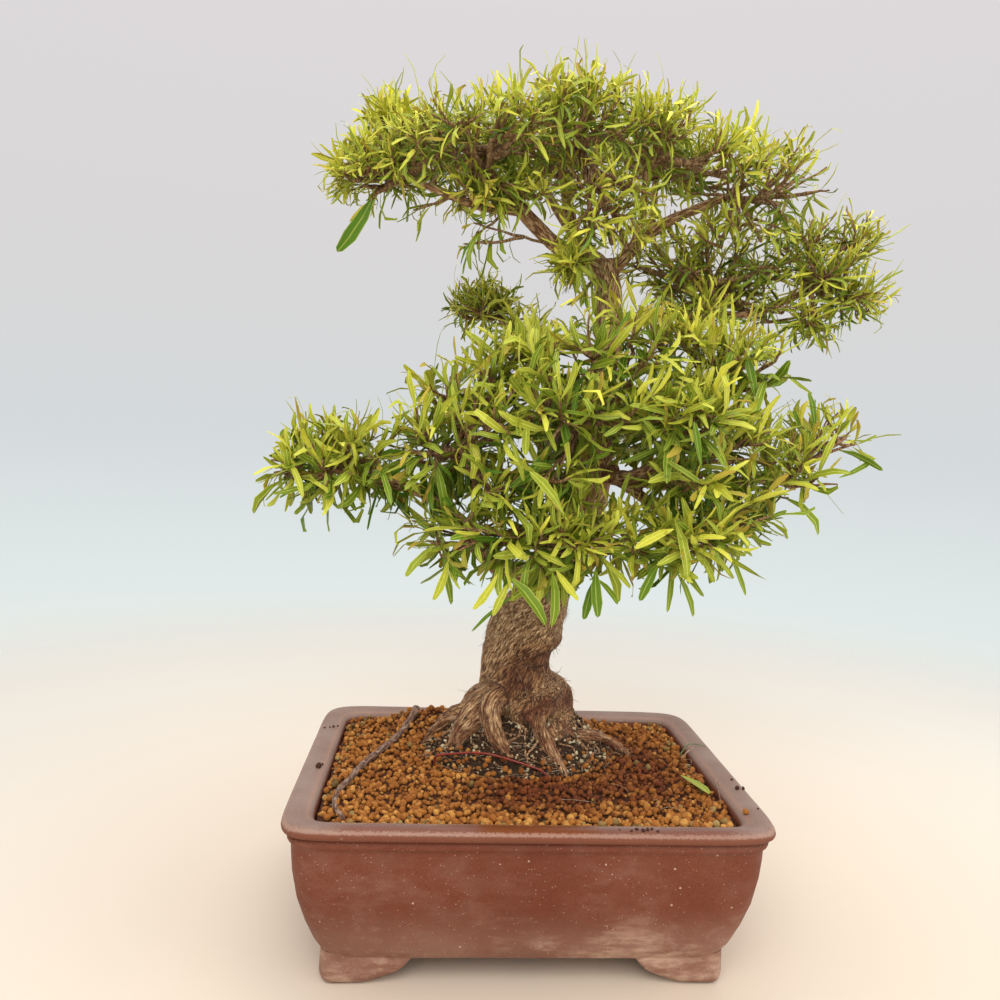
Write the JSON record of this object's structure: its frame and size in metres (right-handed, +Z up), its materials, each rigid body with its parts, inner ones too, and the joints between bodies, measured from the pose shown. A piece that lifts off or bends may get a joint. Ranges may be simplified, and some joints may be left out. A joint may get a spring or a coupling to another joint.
{
  "type": "willow leaf fig bonsai in a pot",
  "caption": "Small trained fig tree with a twisted trunk, bare surface roots and narrow-leaved foliage pads, growing in a rectangular footed clay pot of granules.",
  "frame": {"origin": "middle of the bounding box on the surface that the pot's feet stand on", "axes": "+Z up along the tree, +X to the right along the pot's long side and -Y towards the viewer of the front"},
  "size_m": [0.4496, 0.2744, 0.5917],
  "materials": {
    "fired_clay": "matte",
    "bark": "matte",
    "granules": "matte",
    "humus": "matte",
    "leaf": "satin",
    "screen_plastic": "matte",
    "red_wire": "gloss",
    "dry_root": "matte"
  },
  "bodies": {
    "root": {"pot": "fired_clay", "trunk_and_branches": "bark", "granule_bed": "granules", "root_ball": "humus", "drain_screen_left": "screen_plastic", "drain_screen_right": "screen_plastic", "anchor_wire": "red_wire", "loose_root": "dry_root", "fallen_leaf": "leaf", "leaves_top_left": "leaf", "leaves_top_left_front": "leaf", "leaves_top_left_back": "leaf", "leaves_crown_front": "leaf", "leaves_crown_back": "leaf", "leaves_top_right_front": "leaf", "leaves_top_right": "leaf", "leaves_top_right_back": "leaf", "leaves_right": "leaf", "leaves_right_out": "leaf", "leaves_left_small": "leaf", "leaves_low_left": "leaf", "leaves_mid_left": "leaf", "leaves_mid_front": "leaf", "leaves_low_front": "leaf", "leaves_right_front": "leaf", "leaves_right_low": "leaf", "leaves_right_far": "leaf", "leaves_back": "leaf"}
  },
  "joints": []
}
